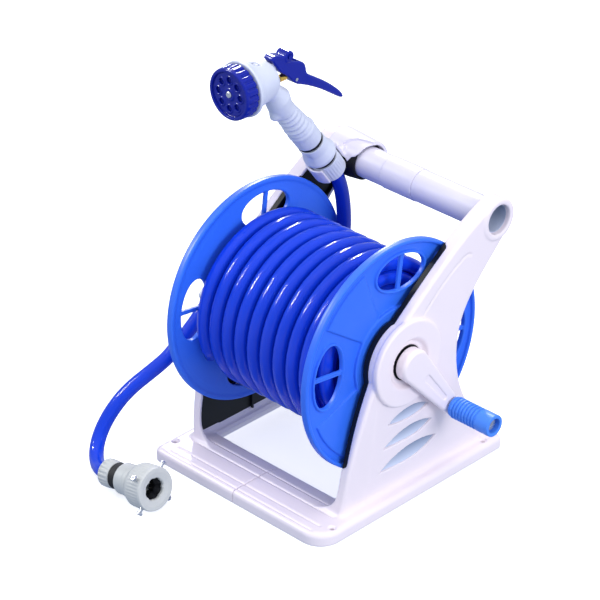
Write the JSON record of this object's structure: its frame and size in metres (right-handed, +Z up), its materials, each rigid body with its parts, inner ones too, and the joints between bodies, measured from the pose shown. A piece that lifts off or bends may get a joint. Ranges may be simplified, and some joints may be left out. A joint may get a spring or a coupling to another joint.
{
  "type": "garden hose reel",
  "caption": "Free-standing hose reel: side frames on a flat base, crank drum with wound hose, carry handle, clipped spray nozzle and inlet hose with tap connector.",
  "frame": {"origin": "centre of the four screw holes in the base, on the plane the reel stands on", "axes": "+Z up, +X along the drum axle towards the crank, -Y towards the front board"},
  "size_m": [0.4076, 0.4225, 0.495],
  "materials": {
    "white_shell": "satin moulded plastic, slightly lavender white",
    "handle_white": "satin moulded plastic",
    "black_web": "dark ribbed inner moulding",
    "steel": "plated steel",
    "reel_blue": "satin bright blue moulded plastic",
    "hose_blue": "glossy extruded PVC",
    "hose_navy": "glossy extruded PVC, darker blue",
    "grip_blue": "satin ribbed plastic",
    "fitting_white": "moulded plastic fitting",
    "black_rubber": "black rubber",
    "tap_grey": "light grey moulded plastic",
    "nozzle_white": "satin white plastic",
    "nozzle_navy": "glossy dark blue plastic",
    "brass": "polished brass"
  },
  "bodies": {
    "frame": {"left_frame": "white_shell", "right_frame": "white_shell", "left_web": "black_web", "right_web": "black_web", "front_board_left": "white_shell", "front_board_right": "white_shell", "rear_board_left": "white_shell", "rear_board_right": "white_shell", "board_plates": "steel", "board_screws": "steel", "handle_left": "handle_white", "handle_right": "handle_white", "handle_sleeve": "handle_white", "holder_socket": "black_web", "nozzle_holder": "white_shell", "left_bushing": "black_web", "right_bushing": "black_web", "inlet_elbow": "fitting_white", "inlet_nut": "fitting_white", "inlet_oring": "black_rubber", "inlet_hose": "hose_blue", "tap_nut": "tap_grey", "tap_ring": "black_rubber", "tap_stem": "tap_grey", "tap_cap": "tap_grey", "tap_rubber": "black_rubber", "tap_screws": "steel", "hose_tail": "hose_navy"},
    "drum": {"left_flange": "reel_blue", "right_flange": "reel_blue", "drum_core": "reel_blue", "flange_screws": "steel", "axle": "steel", "core_outlet": "fitting_white", "core_nut": "fitting_white", "hose_winding": "hose_blue", "crank_arm": "white_shell", "crank_screw": "steel", "crank_pin": "steel"},
    "grip": {"crank_grip": "grip_blue"},
    "nozzle": {"hose_nut": "nozzle_white", "nut_ring": "black_rubber", "connector_core": "fitting_white", "nozzle_body": "nozzle_white", "grip_seal": "black_rubber", "valve_spring": "steel", "lever_pivot": "nozzle_navy"},
    "collar": {"release_collar": "nozzle_white"},
    "dial": {"dial": "nozzle_navy", "dial_face": "nozzle_navy", "dial_screw": "steel"},
    "lever": {"lever": "nozzle_navy", "link_pin": "steel"},
    "stem": {"valve_stem": "brass"},
    "tap_collar": {"tap_collar": "tap_grey"}
  },
  "joints": [
    {"name": "drum_spin", "type": "hinge", "parent": "frame", "child": "drum", "pos_m": [0, -0.013, 0.187], "axis": [1, 0, 0], "continuous": true},
    {"name": "crank_grip_spin", "type": "hinge", "parent": "drum", "child": "grip", "pos_m": [0.18, 0.05119, 0.10773], "axis": [1, 0, 0], "continuous": true},
    {"name": "nozzle_lift", "type": "slide", "parent": "frame", "child": "nozzle", "axis": [0, -0.5948, 0.8039], "range_m": [0, 0.045]},
    {"name": "collar_slide", "type": "slide", "parent": "nozzle", "child": "collar", "axis": [0, 0.5948, -0.8039], "range_m": [0, 0.004], "stiffness_N_per_m": 800, "springref_m": -0.002},
    {"name": "dial_turn", "type": "hinge", "parent": "nozzle", "child": "dial", "pos_m": [-0.092, -0.06, 0.462], "axis": [0, 1, 0], "continuous": true},
    {"name": "lever_squeeze", "type": "hinge", "parent": "nozzle", "child": "lever", "pos_m": [-0.092, 0.02, 0.4815], "axis": [-1, 0, 0], "range_deg": [0, 13], "stiffness_Nm_per_rad": 1, "springref_deg": -11.46},
    {"name": "stem_push", "type": "slide", "parent": "nozzle", "child": "stem", "axis": [0, -1, 0], "range_m": [0, 0.008], "deforming": ["valve_spring"]},
    {"name": "tap_collar_slide", "type": "slide", "parent": "frame", "child": "tap_collar", "axis": [-0.986, 0, -0.1668], "range_m": [0, 0.0035], "stiffness_N_per_m": 800, "springref_m": -0.002}
  ],
  "couplings": [
    {"joint": "stem_push", "follows": "lever_squeeze", "m_per_rad": 0.034}
  ]
}
